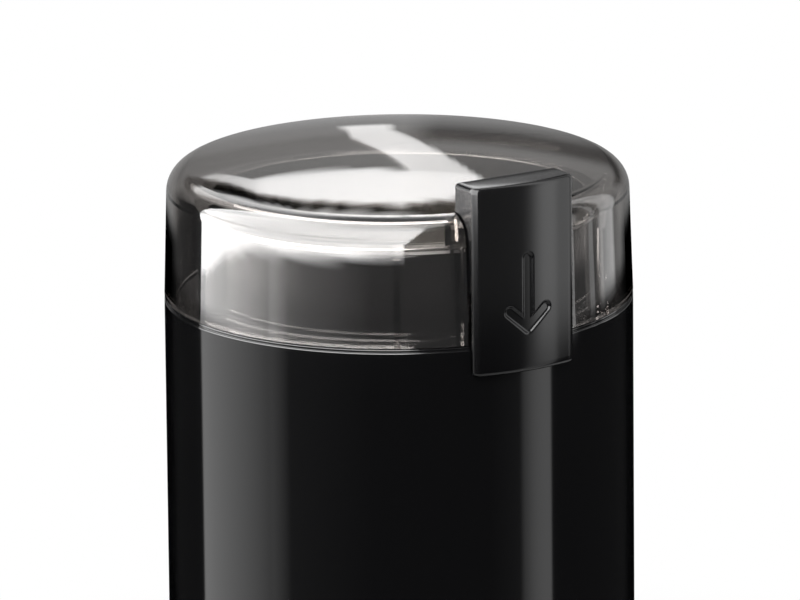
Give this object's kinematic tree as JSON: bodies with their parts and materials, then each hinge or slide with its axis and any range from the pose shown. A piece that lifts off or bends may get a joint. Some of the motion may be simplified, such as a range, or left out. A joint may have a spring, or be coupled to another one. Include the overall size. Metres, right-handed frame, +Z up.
{
  "type": "electric spice grinder",
  "caption": "Cylindrical blade grinder: glossy housing with motor and steel bowl, smoked lift-off dome lid with a side push button that starts the blade.",
  "frame": {"origin": "centre of the base on the surface it stands on", "axes": "+Z up along the motor axis, -Y towards the push button, +Y towards the mains inlet"},
  "size_m": [0.085, 0.0882, 0.1602],
  "materials": {
    "black_gloss": "high-gloss black ABS",
    "button_black": "satin black ABS",
    "smoked_clear": "smoked clear SAN",
    "inner_black": "matt black moulded",
    "bowl_steel": "polished stainless",
    "blade_steel": "ground stainless",
    "screw_steel": "zinc plated",
    "spring_steel": "drawn wire",
    "shaft_steel": "ground",
    "lamination": "varnished electrical steel",
    "copper": "enamelled copper",
    "brass": "drawn brass",
    "bronze": "sintered",
    "rubber": "matt",
    "silicone": "matt",
    "carbon": "pressed carbon",
    "carrier_nylon": "glass-filled nylon",
    "white_nylon": "moulded nylon",
    "switch_phenolic": "moulded phenolic",
    "capacitor_yellow": "moulded box",
    "lead_sleeve": "PVC sleeve"
  },
  "bodies": {
    "housing": {"casing": "black_gloss", "base_cover": "inner_black", "foot_1": "rubber", "foot_2": "rubber", "foot_3": "rubber", "foot_4": "rubber", "base_screws": "screw_steel", "cord_gland": "rubber", "grinding_bowl": "bowl_steel", "bowl_gasket": "silicone", "bowl_screws": "screw_steel", "shaft_seal": "rubber", "upper_bracket": "carrier_nylon", "bracket_washers": "rubber", "bracket_screws": "screw_steel", "upper_bearing": "bronze", "lower_bearing": "bronze", "field_core": "lamination", "field_coil_left": "copper", "field_coil_right": "copper", "lower_bracket": "carrier_nylon", "brush_holder_front": "brass", "brush_holder_back": "brass", "carbon_brush_front": "carbon", "carbon_brush_back": "carbon", "brush_spring_front": "spring_steel", "brush_spring_back": "spring_steel", "motor_bolts": "screw_steel", "rod_spring": "spring_steel", "switch_bracket": "screw_steel", "switch_bracket_screws": "screw_steel", "microswitch": "switch_phenolic", "switch_screws": "screw_steel", "terminal_block": "white_nylon", "terminal_screws": "brass", "suppression_capacitor": "capacitor_yellow", "switch_lead": "lead_sleeve", "coil_lead": "lead_sleeve"},
    "lid": {"lid": "smoked_clear", "return_spring_left": "spring_steel", "return_spring_right": "spring_steel"},
    "button": {"push_button": "button_black"},
    "switch_rod": {"switch_rod": "white_nylon"},
    "switch_lever": {"switch_lever": "spring_steel"},
    "switch_plunger": {"switch_plunger": "white_nylon"},
    "rotor": {"motor_shaft": "shaft_steel", "armature_core": "lamination", "armature_winding": "copper", "commutator": "copper", "cooling_fan": "white_nylon", "thrust_washers": "white_nylon", "blade": "blade_steel", "blade_nut": "blade_steel"}
  },
  "joints": [
    {"name": "lid_lift", "type": "slide", "parent": "housing", "child": "lid", "axis": [0, 0, 1], "range_m": [0, 0.045]},
    {"name": "button_press", "type": "slide", "parent": "lid", "child": "button", "axis": [0, 0, -1], "range_m": [0, 0.0035], "stiffness_N_per_m": 400, "springref_m": -0.004, "deforming": ["return_spring_left", "return_spring_right"]},
    {"name": "rod_press", "type": "slide", "parent": "housing", "child": "switch_rod", "axis": [0, 0, -1], "range_m": [0, 0.0035], "deforming": ["rod_spring"]},
    {"name": "lever_tilt", "type": "hinge", "parent": "housing", "child": "switch_lever", "pos_m": [-0.016, -0.0306, 0.08292], "axis": [0, 1, 0], "range_deg": [0, 12.5]},
    {"name": "plunger_press", "type": "slide", "parent": "housing", "child": "switch_plunger", "axis": [0, 0, -1], "range_m": [0, 0.0011]},
    {"name": "blade_spin", "type": "hinge", "parent": "housing", "child": "rotor", "pos_m": [0, 0, 0.1], "axis": [0, 0, 1], "continuous": true}
  ],
  "couplings": [
    {"joint": "rod_press", "follows": "button_press", "ratio": 1},
    {"joint": "lever_tilt", "follows": "button_press", "rad_per_m": 62.333},
    {"joint": "plunger_press", "follows": "button_press", "ratio": 0.31429}
  ]
}
